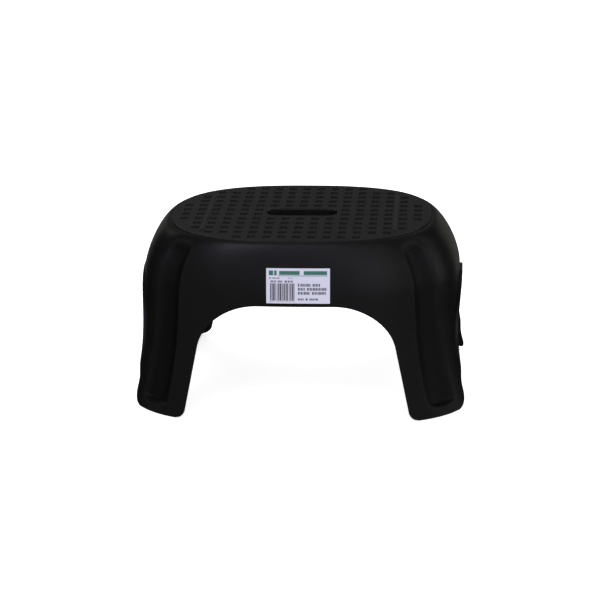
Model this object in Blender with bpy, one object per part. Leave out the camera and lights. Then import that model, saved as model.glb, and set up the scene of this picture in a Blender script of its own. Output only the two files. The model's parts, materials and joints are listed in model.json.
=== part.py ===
"""One-piece moulded step stool with an oval tread, four splayed legs, a label and foot pads.

Frame: +X along the stool's length, +Y towards its back, +Z up, origin on the floor under its middle.
"""

import math

import bmesh
import bpy
from mathutils import Vector

# Heights of the shell (metres)
SHELL_FLOOR = 0.0010        # lower edge of the legs, which stand on the pads
SHOULDER_START = 0.1550     # the walls start to curve in towards the tread here
SHOULDER_TOP = 0.2175       # foot of the small step round the tread
TREAD_TOP = 0.2190
CEILING = 0.2155            # underside of the tread plate
WALL = 0.0030

# Plan of the outer wall: an oval whose half sizes and squareness change with height
TREAD_EDGE_X = 0.1617
TREAD_EDGE_Y = 0.1185
SHOULDER_ROUND = 1.54       # exponent of the shoulder's curve, 1 is a chamfer and 2 an ellipse
WAIST_X = 0.1972
WAIST_DRAFT = 0.020         # lean of the end walls above the flare
FLARE_X = 0.0225            # how far the ends of the legs sweep out
FLARE_TOP = 0.1300
FOOT_Y = 0.1600
DRAFT_Y = 0.160             # lean of the front and back walls
SQUARE_FOOT = 3.2
SQUARE_TREAD = 2.6

# Step and rounded edge between the shoulder and the tread: (inset, height) of each ring
TREAD_EDGE_RINGS = ((0.0008, 0.2173), (0.0012, 0.2184), (0.0020, 0.2190))

# Arches: straight leaning sides that curve in to the top
FRONT_ARCH_HALF = 0.1387
FRONT_ARCH_LEAN = 0.208
FRONT_ARCH_TOP = 0.1433
FRONT_ARCH_BEND = 0.0900    # height at which the sides start to curve in
FRONT_ARCH_CORNER = 0.0635  # how far each corner curves in, which leaves a flat top
FRONT_ARCH_ROUND = 2.0
FRONT_FOOT_RADIUS = 0.0100
END_ARCH_HALF = 0.0920
END_ARCH_LEAN = 0.250
END_ARCH_TOP = 0.1500
END_ARCH_BEND = 0.0600
END_ARCH_ROUND = 2.0
END_FOOT_RADIUS = 0.0160

# Flute down each leg's corner, in degrees of the oval's own angle from the stool's end
FLUTE_ANGLE = 43.2
FLUTE_HALF_ANGLE = 5.8
FLUTE_DEPTH = 0.0070
FLUTE_END = 0.0115          # height of the flute's floor at its middle
FLUTE_END_ROUND = 0.0060    # how much higher the floor is at the flute's sides
FLUTE_LEDGE = 0.0035        # height over which that floor curves up into the channel
FLUTE_FADE_LOW = 0.1930
FLUTE_FADE_HIGH = 0.2168

# Raised lip round each end arch
LIP_REACH = 0.0033
LIP_WIDTH = 0.0025
LIP_BITE = 0.0015           # how deep it runs into the wall
LIP_SETBACK = 0.0003
LIP_FOOT = 0.0250
LIP_TAPER = 0.0250

# Tread: grip pockets on a square grid, two grip ribs and the hand slot
PITCH = 0.0180
POCKET_SIZE = 0.0095
POCKET_DEPTH = 0.0012
POCKET_DRAFT = 0.0004
POCKET_FIELD_X = 0.1490
POCKET_FIELD_Y = 0.1100
POCKET_FIELD_SQUARE = 2.6
GRIP_RIB_X = 6.5 * PITCH
GRIP_RIB_HALF_LENGTH = 0.0730
GRIP_RIB_WIDTH = 0.0038
GRIP_RIB_TOP = 0.2200
GRIP_RIB_TAPER = 0.0004
RIB_BITE = 0.0012           # how deep every rib runs into the tread plate
SLOT_LENGTH = 0.0880
SLOT_WIDTH = 0.0250
SLOT_CHAMFER = 0.0012

# Stiffening under the tread
SKIRT_WALL = 0.0025
SKIRT_DEPTH = 0.0120
UNDER_RIB_STATIONS = (3.5 * PITCH, 5.5 * PITCH, 7.5 * PITCH)
UNDER_RIB_WIDTH = 0.0022
UNDER_RIB_DEPTH = 0.0110
UNDER_RIB_MARGIN = 0.0120

# Label on the front apron
LABEL_LEFT = -0.0340
LABEL_RIGHT = 0.0420
LABEL_LOW = 0.1477
LABEL_HIGH = 0.1890
LABEL_THICKNESS = 0.0003
GAP = 0.0003                # clearance between neighbouring pieces

# Foot pads, one in each leg's corner
PAD_HEIGHT = 0.0080
PAD_DEPTH = 0.0110
PAD_HALF_ANGLE = 4.6

# Mesh fineness
ROWS_OUTSIDE = (SHELL_FLOOR, 0.0025, 0.0060, 0.0110, 0.0150, 0.0210, 0.0480, 0.0750, 0.0980,
                0.1140, 0.1260, 0.1350, 0.1400, FRONT_ARCH_TOP, 0.1480, 0.1495, END_ARCH_TOP,
                0.1640, 0.1790, 0.1930, 0.2040, 0.2115, 0.2160, SHOULDER_TOP)
LEDGE_ROWS = 6              # rows from the floor up to the top of the flute's ledge
INSIDE_ROW_RISE = 0.0003    # least height between the inner face's lowest rows
END_COLUMNS = 5
FLUTE_COLUMNS = 6
SIDE_COLUMNS = 3
FLAT_COLUMNS = 4
SLOT_ARC_STEPS = 8
LIP_STEPS = 12
LABEL_CELLS = 6
PAD_COLUMNS = 4
SHARP_ANGLE = 40.0          # degrees; steeper edges are shaded sharp


def clear_objects():
    for old in list(bpy.data.objects):
        bpy.data.objects.remove(old, do_unlink=True)


def smooth_step(value):
    value = min(max(value, 0.0), 1.0)
    return value * value * (3.0 - 2.0 * value)


# ---- the outer wall -------------------------------------------------------------------------

def shoulder_fraction(z):
    """How far the shoulder has curved in: 0 on the wall, 1 at the tread."""
    t = min(max((z - SHOULDER_START) / (SHOULDER_TOP - SHOULDER_START), 0.0), 1.0)
    return 1.0 - (1.0 - t ** SHOULDER_ROUND) ** (1.0 / SHOULDER_ROUND)


def half_length(z):
    flare = FLARE_X * max(1.0 - z / FLARE_TOP, 0.0) ** 2
    wall = WAIST_X + flare - WAIST_DRAFT * max(z - FLARE_TOP, 0.0)
    return wall + (TREAD_EDGE_X - wall) * shoulder_fraction(z)


def half_depth(z):
    wall = FOOT_Y - DRAFT_Y * min(z, SHOULDER_TOP)
    top = FOOT_Y - DRAFT_Y * SHOULDER_TOP
    return wall + (TREAD_EDGE_Y - top) * shoulder_fraction(z)


def squareness(z):
    return SQUARE_FOOT + (SQUARE_TREAD - SQUARE_FOOT) * z / TREAD_TOP


def oval_point(angle, half_x, half_y, power):
    """Point of a superellipse in its first quadrant."""
    c = math.cos(angle)
    s = math.sin(angle)
    radius = (abs(c) ** power + abs(s) ** power) ** (-1.0 / power)
    return half_x * radius * c, half_y * radius * s


def flute_inset(angle, z, drop):
    """Depth of the corner flute; drop lowers its floor, for the inside face of the wall."""
    u = (math.degrees(angle) - FLUTE_ANGLE) / FLUTE_HALF_ANGLE
    if abs(u) >= 1.0:
        return 0.0
    floor = FLUTE_END + FLUTE_END_ROUND * (1.0 - math.sqrt(1.0 - u * u)) - drop
    low = smooth_step((z - floor) / FLUTE_LEDGE)
    high = 1.0 - smooth_step((z - FLUTE_FADE_LOW) / (FLUTE_FADE_HIGH - FLUTE_FADE_LOW))
    return FLUTE_DEPTH * (1.0 - u * u) * low * high


def plain_point(angle, z, inset):
    """Plan position inset from the wall's outer face, as if it had no flute."""
    return oval_point(angle, half_length(z) - inset, half_depth(z) - inset, squareness(z))


def wall_point(angle, z, inset, drop=0.0):
    return plain_point(angle, z, inset + flute_inset(angle, z, drop))


def solve_angle(z, inset, axis, value):
    """Angle at which the wall's X (axis 0) or Y (axis 1) takes a value, by bisection."""
    low, high = 0.0, math.pi / 2
    for _ in range(50):
        middle = 0.5 * (low + high)
        point = plain_point(middle, z, inset)
        too_far_round = point[0] < value if axis == 0 else point[1] > value
        if too_far_round:
            high = middle
        else:
            low = middle
    return 0.5 * (low + high)


# ---- the arches -----------------------------------------------------------------------------

def curve_in(z, bend, top, power):
    t = min(max((z - bend) / (top - bend), 0.0), 1.0)
    return 1.0 - (1.0 - t ** power) ** (1.0 / power)


def foot_round(z, radius):
    rise = min(max(z - SHELL_FLOOR, 0.0), radius)
    return radius - math.sqrt(radius ** 2 - (radius - rise) ** 2)


def front_arch(z):
    """Half width of the front and back arches."""
    bend = curve_in(z, FRONT_ARCH_BEND, FRONT_ARCH_TOP, FRONT_ARCH_ROUND)
    side = FRONT_ARCH_HALF - FRONT_ARCH_LEAN * z - FRONT_ARCH_CORNER * bend
    return side + foot_round(z, FRONT_FOOT_RADIUS)


def end_arch(z):
    """Half width of the end arches, which close in to nothing at a rounded top."""
    closed = END_ARCH_HALF - END_ARCH_LEAN * END_ARCH_TOP
    bend = curve_in(z, END_ARCH_BEND, END_ARCH_TOP, END_ARCH_ROUND)
    side = END_ARCH_HALF - END_ARCH_LEAN * z - closed * bend
    return max(side, 0.0) + foot_round(z, END_FOOT_RADIUS)


# ---- one quarter of the shell ---------------------------------------------------------------

def spread(first, last, steps):
    return [first + (last - first) * i / steps for i in range(steps + 1)]


def row_angles(z, inset):
    """Angles of the grid's columns at one height, from the end arch to the stool's middle."""
    flute_low = math.radians(FLUTE_ANGLE - FLUTE_HALF_ANGLE)
    flute_high = math.radians(FLUTE_ANGLE + FLUTE_HALF_ANGLE)
    first = solve_angle(z, inset, 1, end_arch(z)) if z < END_ARCH_TOP else 0.0
    corner_z = min(z, FRONT_ARCH_TOP)
    last = solve_angle(corner_z, inset, 0, front_arch(corner_z))
    angles = spread(first, flute_low, END_COLUMNS)
    angles += spread(flute_low, flute_high, FLUTE_COLUMNS)[1:]
    angles += spread(flute_high, last, SIDE_COLUMNS)[1:]
    if z >= FRONT_ARCH_TOP:
        angles += spread(last, math.pi / 2, FLAT_COLUMNS)[1:]
    return angles


def snapped(x, y, z):
    """A point whose plan position is put exactly on a symmetry plane that it all but touches."""
    return (0.0 if abs(x) < 1e-7 else x, 0.0 if abs(y) < 1e-7 else y, z)


def grid_row(bm, wall_z, z, inset, drop):
    points = [wall_point(angle, wall_z, inset, drop) for angle in row_angles(wall_z, inset)]
    return [bm.verts.new(snapped(x, y, z)) for x, y in points]


def outside_rows(bm):
    return [grid_row(bm, z, z, 0.0, 0.0) for z in ROWS_OUTSIDE]


def inside_rows(bm):
    """Inner face: the ledge's rows sit one wall lower, and the shoulder's rows meet the ceiling."""
    rows = []
    for index, z in enumerate(ROWS_OUTSIDE):
        drop = WALL if 0 < index < LEDGE_ROWS else 0.0
        wall_z = max(z - drop, SHELL_FLOOR + INSIDE_ROW_RISE * index)
        height = wall_z
        if z > SHOULDER_START:
            climb = (z - SHOULDER_START) / (SHOULDER_TOP - SHOULDER_START)
            height = SHOULDER_START + climb * (CEILING - SHOULDER_START)
        rows.append(grid_row(bm, wall_z, height, WALL, WALL))
    return rows


def bridge_rows(bm, rows, turned):
    for lower, upper in zip(rows, rows[1:]):
        for i in range(min(len(lower), len(upper)) - 1):
            ring = [lower[i], lower[i + 1], upper[i + 1], upper[i]]
            bm.faces.new(ring[::-1] if turned else ring)


def close_edges(bm, outer, inner):
    """Faces across the wall's thickness along the foot, both arches and the apron."""
    leg_columns = len(outer[0])
    apron_row = ROWS_OUTSIDE.index(FRONT_ARCH_TOP)
    end_row = ROWS_OUTSIDE.index(END_ARCH_TOP)
    for i in range(leg_columns - 1):
        bm.faces.new((outer[0][i + 1], outer[0][i], inner[0][i], inner[0][i + 1]))
    for k in range(end_row):
        bm.faces.new((outer[k][0], outer[k + 1][0], inner[k + 1][0], inner[k][0]))
    last = leg_columns - 1
    for k in range(apron_row):
        bm.faces.new((outer[k + 1][last], outer[k][last], inner[k][last], inner[k + 1][last]))
    for i in range(last, last + FLAT_COLUMNS):
        bm.faces.new((outer[apron_row][i + 1], outer[apron_row][i],
                      inner[apron_row][i], inner[apron_row][i + 1]))


def tread_edge(bm, shoulder):
    """Rings of the small step and the rounded edge that lead up to the flat tread."""
    rows = [shoulder]
    for inset, height in TREAD_EDGE_RINGS:
        points = [wall_point(angle, SHOULDER_TOP, inset) for angle in row_angles(SHOULDER_TOP, 0.0)]
        rows.append([bm.verts.new(snapped(x, y, height)) for x, y in points])
    bridge_rows(bm, rows, False)
    return rows[-1]


def quarter_shell():
    bm = bmesh.new()
    outer = outside_rows(bm)
    inner = inside_rows(bm)
    bridge_rows(bm, outer, False)
    bridge_rows(bm, inner, True)
    close_edges(bm, outer, inner)
    rim = tread_edge(bm, outer[-1])
    bm.faces.new(rim + [bm.verts.new((0.0, 0.0, TREAD_TOP))])
    bm.faces.new((inner[-1] + [bm.verts.new((0.0, 0.0, CEILING))])[::-1])
    bmesh.ops.recalc_face_normals(bm, faces=bm.faces)
    return bm


# ---- solids added to the shell --------------------------------------------------------------

def loft(bm, rings):
    """Closed solid through rings of equal length, capped at both ends."""
    made = [[bm.verts.new(point) for point in ring] for ring in rings]
    faces = [bm.faces.new(made[0]), bm.faces.new(made[-1])]
    for first, second in zip(made, made[1:]):
        for i in range(len(first)):
            j = (i + 1) % len(first)
            faces.append(bm.faces.new((first[i], first[j], second[j], second[i])))
    bmesh.ops.recalc_face_normals(bm, faces=faces)


def box_rings(x, y, half_x, half_y, low, high, taper=0.0):
    rings = []
    for z, grow in ((low, 0.0), (high, taper)):
        rings.append([(x + sx * (half_x + grow), y + sy * (half_y + grow), z)
                      for sx, sy in ((-1, -1), (1, -1), (1, 1), (-1, 1))])
    return rings


def slot_ring(grow, z):
    """Outline of the hand slot, grown by an offset."""
    radius = SLOT_WIDTH / 2 + grow
    reach = SLOT_LENGTH / 2 - SLOT_WIDTH / 2
    points = []
    for side in (1, -1):
        for k in range(SLOT_ARC_STEPS + 1):
            turn = math.pi * (k / SLOT_ARC_STEPS - 0.5)
            points.append((side * (reach + radius * math.cos(turn)), side * radius * math.sin(turn), z))
    return points


def end_wall_x(y, z):
    """X of the end wall's outer face at a place seen square on from that end."""
    ratio = abs(y) / half_depth(z)
    power = squareness(z)
    return half_length(z) * (1.0 - ratio ** power) ** (1.0 / power)


def lip_path():
    """Outline of the end arch above its straight feet, as (y, z) from one foot to the other."""
    turns = spread(0.0, math.pi / 2, LIP_STEPS)
    heights = [LIP_FOOT + (END_ARCH_TOP - LIP_FOOT) * math.sin(turn) for turn in turns]
    side = [(end_arch(z), z) for z in heights]
    return [(-y, z) for y, z in side] + side[-2::-1]


def lip_ring(side, path, index):
    before = path[max(index - 1, 0)]
    after = path[min(index + 1, len(path) - 1)]
    length = math.dist(before, after)
    away = ((before[1] - after[1]) / length, (after[0] - before[0]) / length)
    y, z = path[index]
    reach = LIP_REACH * smooth_step((z - LIP_FOOT) / LIP_TAPER)
    ring = []
    for offset, rise in ((LIP_SETBACK, -LIP_BITE), (LIP_SETBACK, reach),
                         (LIP_WIDTH, reach), (LIP_WIDTH, -LIP_BITE)):
        py = y + away[0] * offset
        pz = z + away[1] * offset
        ring.append((side * (end_wall_x(py, pz) + rise), py, pz))
    return ring


def add_lips(bm):
    path = lip_path()
    for side in (1, -1):
        loft(bm, [lip_ring(side, path, index) for index in range(len(path))])


def add_ribs(bm):
    for side in (1, -1):
        loft(bm, box_rings(side * GRIP_RIB_X, 0.0, GRIP_RIB_WIDTH / 2, GRIP_RIB_HALF_LENGTH,
                           TREAD_TOP - RIB_BITE, GRIP_RIB_TOP, -GRIP_RIB_TAPER))
        for station in UNDER_RIB_STATIONS:
            reach = half_depth(SHOULDER_TOP) * (1.0 - (station / half_length(SHOULDER_TOP))
                                                ** SQUARE_TREAD) ** (1.0 / SQUARE_TREAD)
            loft(bm, box_rings(side * station, 0.0, UNDER_RIB_WIDTH / 2, reach - UNDER_RIB_MARGIN,
                               CEILING - UNDER_RIB_DEPTH, CEILING + RIB_BITE))
    loft(bm, [slot_ring(SKIRT_WALL, CEILING - SKIRT_DEPTH), slot_ring(SKIRT_WALL, CEILING + RIB_BITE)])


# ---- hollows cut from the shell -------------------------------------------------------------

def pocket_centres():
    centres = []
    rows = [row + 0.5 for row in range(-6, 6)]
    for row in rows:
        for column in range(-8, 9):
            x = column * PITCH
            y = row * PITCH
            inside = (abs(x) / POCKET_FIELD_X) ** POCKET_FIELD_SQUARE \
                + (abs(y) / POCKET_FIELD_Y) ** POCKET_FIELD_SQUARE < 1.0
            on_slot = abs(row) < 1 and abs(column) <= 2
            if inside and not on_slot:
                centres.append((x, y))
    return centres


def cut_tread(bm):
    for x, y in pocket_centres():
        half = POCKET_SIZE / 2
        loft(bm, box_rings(x, y, half - POCKET_DRAFT, half - POCKET_DRAFT,
                           TREAD_TOP - POCKET_DEPTH, TREAD_TOP + POCKET_DEPTH, 2 * POCKET_DRAFT))
    loft(bm, [slot_ring(0.0, CEILING - 2 * SKIRT_DEPTH),
              slot_ring(0.0, TREAD_TOP - SLOT_CHAMFER),
              slot_ring(2 * SLOT_CHAMFER, TREAD_TOP + SLOT_CHAMFER)])


# ---- objects --------------------------------------------------------------------------------

def plastic(name, colour, roughness):
    material = bpy.data.materials.new(name)
    material.use_nodes = True
    shader = material.node_tree.nodes["Principled BSDF"]
    shader.inputs["Base Color"].default_value = (*colour, 1.0)
    shader.inputs["Roughness"].default_value = roughness
    shader.inputs["Metallic"].default_value = 0.0
    return material


def make_object(name, bm, material=None):
    mesh = bpy.data.meshes.new(name)
    bm.to_mesh(mesh)
    bm.free()
    if material:
        mesh.materials.append(material)
    made = bpy.data.objects.new(name, mesh)
    bpy.context.scene.collection.objects.link(made)
    return made


def make_helper(name, fill):
    bm = bmesh.new()
    fill(bm)
    helper = make_object(name, bm)
    helper.hide_render = True
    helper.display_type = "WIRE"
    return helper


def add_boolean(target, helper, operation):
    modifier = target.modifiers.new(helper.name, "BOOLEAN")
    modifier.operation = operation
    modifier.object = helper
    modifier.solver = "EXACT"


def make_shell():
    shell = make_object("stool_shell", quarter_shell(), plastic("black_moulding", (0.012,) * 3, 0.42))
    mirror = shell.modifiers.new("mirror", "MIRROR")
    mirror.use_axis = (True, True, False)
    mirror.use_mirror_merge = True
    mirror.merge_threshold = 0.0001
    additions = {"end_arch_lips": add_lips, "tread_ribs": add_ribs}
    for name, fill in additions.items():
        add_boolean(shell, make_helper(name, fill), "UNION")
    add_boolean(shell, make_helper("tread_cuts", cut_tread), "DIFFERENCE")
    return shell


def front_wall_point(x, z, lift):
    """Point lifted square off the front wall's outer face."""
    def on_wall(px, pz):
        ratio = abs(px) / half_length(pz)
        power = squareness(pz)
        return Vector((px, -half_depth(pz) * (1.0 - ratio ** power) ** (1.0 / power), pz))
    along = on_wall(x + GAP, z) - on_wall(x - GAP, z)
    up = on_wall(x, z + GAP) - on_wall(x, z - GAP)
    return on_wall(x, z) + along.cross(up).normalized() * lift


def make_label():
    last = LABEL_CELLS
    bm = bmesh.new()
    layers = []
    for lift in (GAP, GAP + LABEL_THICKNESS):
        layers.append([[bm.verts.new(front_wall_point(x, z, lift))
                        for x in spread(LABEL_LEFT, LABEL_RIGHT, last)]
                       for z in spread(LABEL_LOW, LABEL_HIGH, last)])
    for layer in layers:
        bridge_rows(bm, layer, False)
    back, front = layers
    border = [(0, i) for i in range(last)] + [(k, last) for k in range(last)]
    border += [(last, i) for i in range(last, 0, -1)] + [(k, 0) for k in range(last, 0, -1)]
    for (k, i), (m, j) in zip(border, border[1:] + border[:1]):
        bm.faces.new((back[k][i], back[m][j], front[m][j], front[k][i]))
    bmesh.ops.recalc_face_normals(bm, faces=bm.faces)
    return make_object("label_sticker", bm, plastic("label_film", (0.72, 0.72, 0.78), 0.45))


def make_pad(name, side, end):
    """Soft pad in one leg's corner, under the floor of its flute."""
    bm = bmesh.new()
    low = math.radians(FLUTE_ANGLE - PAD_HALF_ANGLE)
    high = math.radians(FLUTE_ANGLE + PAD_HALF_ANGLE)
    rings = []
    for z in (0.0, PAD_HEIGHT):
        plan = [plain_point(angle, 0.0, WALL + GAP + PAD_DEPTH)
                for angle in spread(high, low, PAD_COLUMNS)]
        plan += [plain_point(angle, max(z, SHELL_FLOOR), WALL + 2 * GAP)
                 for angle in spread(low, high, PAD_COLUMNS)]
        rings.append([(side * x, end * y, z) for x, y in plan])
    loft(bm, rings)
    return make_object(name, bm, plastic(name + "_rubber", (0.03, 0.03, 0.032), 0.8))


def main():
    clear_objects()
    shell = make_shell()
    shell.data.shade_smooth()
    shell.data.set_sharp_from_angle(angle=math.radians(SHARP_ANGLE))
    make_label()
    for end, where in ((-1, "front"), (1, "back")):
        for side, hand in ((-1, "left"), (1, "right")):
            make_pad(f"foot_pad_{where}_{hand}", side, end)


main()
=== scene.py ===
"""Finished look of the moulded step stool: fine surfaces, materials, light and camera round its CAD frame.

Frame: metres, +X along the stool, +Y towards its back, +Z up, origin on the floor under its middle.
"""

import json
import math

import bmesh
import bpy
import numpy as np
from mathutils import Matrix, Vector
from mathutils.geometry import delaunay_2d_cdt


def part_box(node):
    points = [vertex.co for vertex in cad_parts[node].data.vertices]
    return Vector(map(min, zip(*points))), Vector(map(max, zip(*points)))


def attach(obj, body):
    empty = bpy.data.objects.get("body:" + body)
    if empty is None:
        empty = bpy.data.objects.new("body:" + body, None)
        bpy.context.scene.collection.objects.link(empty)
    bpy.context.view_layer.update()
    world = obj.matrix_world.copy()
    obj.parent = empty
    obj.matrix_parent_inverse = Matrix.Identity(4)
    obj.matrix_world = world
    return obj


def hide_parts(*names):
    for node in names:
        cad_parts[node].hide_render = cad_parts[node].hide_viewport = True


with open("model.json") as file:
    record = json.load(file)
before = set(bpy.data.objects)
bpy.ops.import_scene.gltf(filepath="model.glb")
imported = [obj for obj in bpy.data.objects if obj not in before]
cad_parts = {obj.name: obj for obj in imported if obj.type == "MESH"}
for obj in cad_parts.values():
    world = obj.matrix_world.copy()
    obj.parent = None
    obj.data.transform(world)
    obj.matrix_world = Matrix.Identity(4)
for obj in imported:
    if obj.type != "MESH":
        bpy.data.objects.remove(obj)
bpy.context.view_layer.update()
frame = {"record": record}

RECORD = frame["record"]
MOUNTS = {mount["name"]: mount["pos_m"] for mount in RECORD["mounts"]}
SHELL_LOW, SHELL_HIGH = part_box("stool_shell")
LABEL_LOW, LABEL_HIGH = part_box("label_sticker")

# Heights
SHELL_FLOOR = SHELL_LOW.z
TREAD_TOP = MOUNTS["tread_top"][2]
GRIP_RIB_TOP = SHELL_HIGH.z
SHOULDER_START = 0.1550
SHOULDER_TOP = TREAD_TOP - 0.0015
CEILING = TREAD_TOP - 0.0035
WALL = 0.0030

# Plan of the outer wall: an oval whose half sizes and squareness change with height
TREAD_EDGE_X = 0.1617
TREAD_EDGE_Y = 0.1185
SHOULDER_ROUND = 1.54       # power of the shoulder's curve
WAIST_X = 0.1972
WAIST_DRAFT = 0.020
FLARE_X = 0.0225
FLARE_TOP = 0.1300          # the ends flare out under this height and lean in by the draft over it
FOOT_Y = 0.1600
DRAFT_Y = 0.160
SQUARE_FOOT = 3.2
SQUARE_TREAD = 2.6
SQUARE_HEIGHT = 0.2190      # height at which the plan has the tread's squareness

# Arches: half widths on the floor, how much of the height their sides lean in, and where these bend over
FRONT_ARCH_HALF = 0.1387
FRONT_ARCH_LEAN = 0.208
FRONT_ARCH_TOP = 0.1433
FRONT_ARCH_BEND = 0.0900
FRONT_ARCH_CORNER = 0.0635
FRONT_FOOT_RADIUS = 0.0100
END_ARCH_HALF = 0.0920
END_ARCH_LEAN = 0.250
END_ARCH_TOP = 0.1500
END_ARCH_BEND = 0.0600
END_FOOT_RADIUS = 0.0160

# Flute down each leg's corner, in degrees of the oval's own angle from the stool's end
FLUTE_ANGLE = 43.2
FLUTE_HALF_ANGLE = 5.8
FLUTE_DEPTH = 0.0070
FLUTE_SOFTNESS = 0.04       # how softly the flute's edges turn into the wall
FLUTE_END = 0.0115
FLUTE_END_ROUND = 0.0060
FLUTE_LEDGE = 0.0035
FLUTE_FADE_LOW = 0.1930
FLUTE_FADE_HIGH = 0.2168
# Points across the flute, in half angles from its middle
FLUTE_STATIONS = (-1.08, -1.03, -0.98, -0.92, -0.84, -0.74, -0.62, -0.48, -0.33, -0.17, 0.0,
                  0.17, 0.33, 0.48, 0.62, 0.74, 0.84, 0.92, 0.98, 1.03, 1.08)

# Rounding of the wall's free edges, and the lip round each end arch, which tapers off over the foot
EDGE_ROUND = 0.0008
LIP_REACH = 0.0033
LIP_WIDTH = 0.0025
LIP_FILLET = 0.0006
LIP_ROUND = 0.0009
LIP_FOOT = 0.0250
LIP_TAPER = 0.0250

# Tread
PITCH = 0.0180
POCKET_ROWS = 6             # on each side of the tread's middle
POCKET_COLUMNS = 8
SLOT_COLUMNS = 2            # columns on each side that the slot takes up in the two middle rows
POCKET_HALF = 0.00475
POCKET_CORNER = 0.0016
POCKET_DEPTH = 0.0012
POCKET_FIELD = (0.1490, 0.1100)     # half sizes of the oval that the pockets fill
GRIP_RIB_X = 6.5 * PITCH
GRIP_RIB_HALF_LENGTH = 0.0730
GRIP_RIB_HALF_WIDTH = 0.0019
SLOT_HALF_LENGTH = 0.0440
SLOT_HALF_WIDTH = 0.0125
SLOT_ROUND = 0.0016
FLAT_BAND = 0.00015         # flat margin round every hole in a flat face, which keeps its shading level

# Rings from the shoulder over the groove and the rounded edge to the flat tread: (inset, height from its top)
RIM_RINGS = ((0.0004, -0.00165), (0.0008, -0.00178), (0.00105, -0.00165), (0.00118, -0.00135),
             (0.00124, -0.00100), (0.00140, -0.00060), (0.00165, -0.00030), (0.00200, -0.00010),
             (0.00240, 0.0), (0.00260, 0.0))

# Underside
SKIRT_WALL = 0.0025
SKIRT_DEPTH = 0.0120
UNDER_RIB_STATIONS = (3.5 * PITCH, 5.5 * PITCH, 7.5 * PITCH)
UNDER_RIB_HALF_WIDTH = 0.0011
UNDER_RIB_DEPTH = 0.0110
UNDER_RIB_MARGIN = 0.0120

# Mesh fineness
END_COLUMNS = 14
SIDE_COLUMNS = 14
FLAT_COLUMNS = 18
THIRDS = (30, 60, 90)       # degrees at which a small quarter round has its points
FOOT_ROWS = 17              # from the floor to just over the flutes' ends
FOOT_ROWS_TOP = 0.0240
LEG_ROWS = 10
LEG_ROWS_SPAN = (0.0290, 0.0830)
ARCH_ROWS = 18
APRON_ROWS = 10
SHOULDER_ROWS = 26
BOX_STEPS = 4               # steps round a corner of a pocket or an end of the slot and the ribs
SLOT_STEPS = 16
GRIP_RIB_STEPS = 8
UNDER_RIB_STEPS = 5
SNAP = 1e-7                 # points nearer than this are one: in a ring, on the label and in the whole mesh
LABEL_SNAP = 1e-6
WELD = 2e-6
BISECTIONS = 40


# ---- outer wall ------------------------------------------------------------------------------

def smooth_step(value):
    """0 to 1 with a soft start and end."""
    value = np.clip(value, 0.0, 1.0)
    return value * value * (3.0 - 2.0 * value)


def shoulder_fraction(z):
    """How far the wall has turned in to the tread's edge at a height."""
    t = min(max((z - SHOULDER_START) / (SHOULDER_TOP - SHOULDER_START), 0.0), 1.0)
    return 1.0 - (1.0 - t ** SHOULDER_ROUND) ** (1.0 / SHOULDER_ROUND)


def half_length(z):
    """Half of the outer wall's length at a height: flared feet, a slight draft, then the shoulder."""
    flare = FLARE_X * max(1.0 - z / FLARE_TOP, 0.0) ** 2
    wall = WAIST_X + flare - WAIST_DRAFT * max(z - FLARE_TOP, 0.0)
    return wall + (TREAD_EDGE_X - wall) * shoulder_fraction(z)


def half_depth(z):
    """Half of its depth at a height: a straight draft, then the shoulder."""
    wall = FOOT_Y - DRAFT_Y * min(z, SHOULDER_TOP)
    top = FOOT_Y - DRAFT_Y * SHOULDER_TOP
    return wall + (TREAD_EDGE_Y - top) * shoulder_fraction(z)


def squareness(z):
    """Power of the plan's oval at a height."""
    return SQUARE_FOOT + (SQUARE_TREAD - SQUARE_FOOT) * z / SQUARE_HEIGHT


def oval_share(x, y, half_x, half_y, power):
    """Under 1 inside an oval, 1 on it and over 1 outside."""
    return (abs(x) / half_x) ** power + (abs(y) / half_y) ** power


def oval(angle, half_x, half_y, power):
    """X and Y of an oval's points, at angles taken before it is stretched to its half sizes."""
    c, s = np.cos(angle), np.sin(angle)
    radius = (np.abs(c) ** power + np.abs(s) ** power) ** (-1.0 / power)
    return half_x * radius * c, half_y * radius * s


def flute_inset(angle, z, drop):
    """How far the flute takes the wall in; its foot is lower by the drop on the inner face."""
    u = (np.degrees(angle) - FLUTE_ANGLE) / FLUTE_HALF_ANGLE
    bowl = 1.0 - u * u
    bowl = 0.5 * (bowl + np.sqrt(bowl * bowl + FLUTE_SOFTNESS ** 2)) - 0.25 * FLUTE_SOFTNESS ** 2
    floor = FLUTE_END + FLUTE_END_ROUND * (1.0 - np.sqrt(np.clip(1.0 - u * u, 0.0, 1.0))) - drop
    low = smooth_step((z - floor) / FLUTE_LEDGE)
    high = 1.0 - smooth_step((z - FLUTE_FADE_LOW) / (FLUTE_FADE_HIGH - FLUTE_FADE_LOW))
    return FLUTE_DEPTH * np.clip(bowl, 0.0, 1.0) * low * high


def wall_points(angles, z, inset, drop=0.0):
    """X and Y of the fluted wall's points at a height."""
    inward = inset + flute_inset(angles, z, drop)
    return oval(angles, half_length(z) - inward, half_depth(z) - inward, squareness(z))


def solve_angle(z, inset, axis, value):
    """Angle at which the plain wall's X (axis 0) or Y (axis 1) takes a value."""
    low, high = 0.0, math.pi / 2
    for _ in range(BISECTIONS):
        middle = 0.5 * (low + high)
        point = oval(middle, half_length(z) - inset, half_depth(z) - inset, squareness(z))
        if (point[0] < value) if axis == 0 else (point[1] > value):
            high = middle
        else:
            low = middle
    return 0.5 * (low + high)


# ---- arches ----------------------------------------------------------------------------------

def quarter_turn(z, bend, top):
    """0 up to the bend, then round a quarter of an oval to 1 at the top."""
    t = min(max((z - bend) / (top - bend), 0.0), 1.0)
    return 1.0 - math.sqrt(1.0 - t * t)


def foot_round(z, floor, radius):
    """How much wider an arch is near the floor, where the leg's corner is round."""
    rise = min(max(z - floor, 0.0), radius)
    return radius - math.sqrt(max(radius ** 2 - (radius - rise) ** 2, 0.0))


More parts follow.
